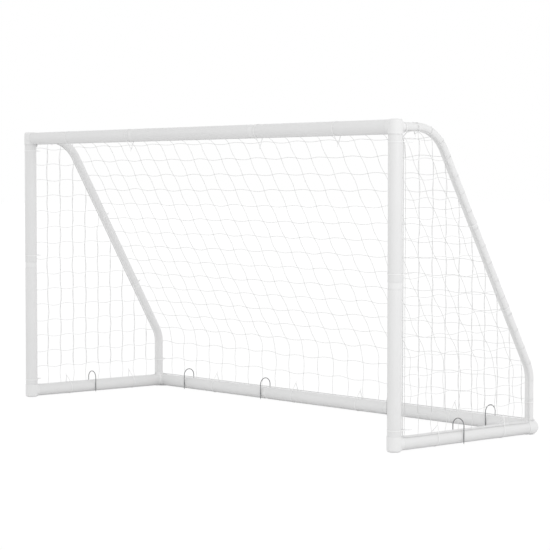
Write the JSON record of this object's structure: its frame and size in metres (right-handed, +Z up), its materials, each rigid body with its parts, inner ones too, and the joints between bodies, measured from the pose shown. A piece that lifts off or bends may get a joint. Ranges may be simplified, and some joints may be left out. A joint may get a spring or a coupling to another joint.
{
  "type": "portable soccer goal",
  "caption": "Free-standing soccer goal: white plastic tube frame with push-fit corners, sloping side stays, a square-mesh net held by cable ties, and steel ground pegs.",
  "frame": {"origin": "Centre of the footprint, on the floor under the feet of the four ground fittings.", "axes": "+X along the crossbar, +Y from the mouth to the rear bar, +Z up"},
  "size_m": [3.6722, 1.2288, 1.837],
  "materials": {
    "tube": "smooth, half gloss",
    "fitting": "smooth moulded, half gloss",
    "net": "matt knotted cord",
    "tie": "matt",
    "peg": "plain drawn wire"
  },
  "bodies": {
    "goal": {"crossbar_left": "tube", "crossbar_middle": "tube", "crossbar_right": "tube", "crossbar_coupler_left": "fitting", "crossbar_coupler_right": "fitting", "rear_bar_left": "tube", "rear_bar_middle": "tube", "rear_bar_right": "tube", "rear_bar_coupler_left": "fitting", "rear_bar_coupler_right": "fitting", "post_left_lower": "tube", "post_left_upper": "tube", "side_bar_left": "tube", "stay_left_upper": "tube", "stay_left_lower": "tube", "post_coupler_left": "fitting", "stay_coupler_left": "fitting", "top_corner_left": "fitting", "front_corner_left": "fitting", "rear_corner_left": "fitting", "post_right_lower": "tube", "post_right_upper": "tube", "side_bar_right": "tube", "stay_right_upper": "tube", "stay_right_lower": "tube", "post_coupler_right": "fitting", "stay_coupler_right": "fitting", "top_corner_right": "fitting", "front_corner_right": "fitting", "rear_corner_right": "fitting", "net_roof": "net", "net_back": "net", "net_back_lower": "net", "net_left": "net", "net_right": "net", "tie_crossbar_1": "tie", "tie_crossbar_2": "tie", "tie_crossbar_3": "tie", "tie_crossbar_4": "tie", "tie_rear_bar_1": "tie", "tie_rear_bar_2": "tie", "tie_rear_bar_3": "tie", "tie_rear_bar_4": "tie", "tie_post_left_1": "tie", "tie_post_left_2": "tie", "tie_post_left_3": "tie", "tie_side_bar_left_1": "tie", "tie_side_bar_left_2": "tie", "tie_post_right_1": "tie", "tie_post_right_2": "tie", "tie_post_right_3": "tie", "tie_side_bar_right_1": "tie", "tie_side_bar_right_2": "tie"},
    "peg_side_left": {"peg_side_left": "peg"},
    "peg_side_right": {"peg_side_right": "peg"},
    "peg_rear_1": {"peg_rear_1": "peg"},
    "peg_rear_2": {"peg_rear_2": "peg"},
    "peg_rear_3": {"peg_rear_3": "peg"},
    "peg_rear_4": {"peg_rear_4": "peg"}
  },
  "joints": [
    {"name": "peg_side_left_pull", "type": "slide", "parent": "goal", "child": "peg_side_left", "axis": [0, 0, 1], "range_m": [-0.0435, 0.089]},
    {"name": "peg_side_right_pull", "type": "slide", "parent": "goal", "child": "peg_side_right", "axis": [0, 0, 1], "range_m": [-0.0435, 0.089]},
    {"name": "peg_rear_1_pull", "type": "slide", "parent": "goal", "child": "peg_rear_1", "axis": [0, 0, 1], "range_m": [-0.0435, 0.089]},
    {"name": "peg_rear_2_pull", "type": "slide", "parent": "goal", "child": "peg_rear_2", "axis": [0, 0, 1], "range_m": [-0.0435, 0.089]},
    {"name": "peg_rear_3_pull", "type": "slide", "parent": "goal", "child": "peg_rear_3", "axis": [0, 0, 1], "range_m": [-0.0435, 0.089]},
    {"name": "peg_rear_4_pull", "type": "slide", "parent": "goal", "child": "peg_rear_4", "axis": [0, 0, 1], "range_m": [-0.0435, 0.089]}
  ]
}
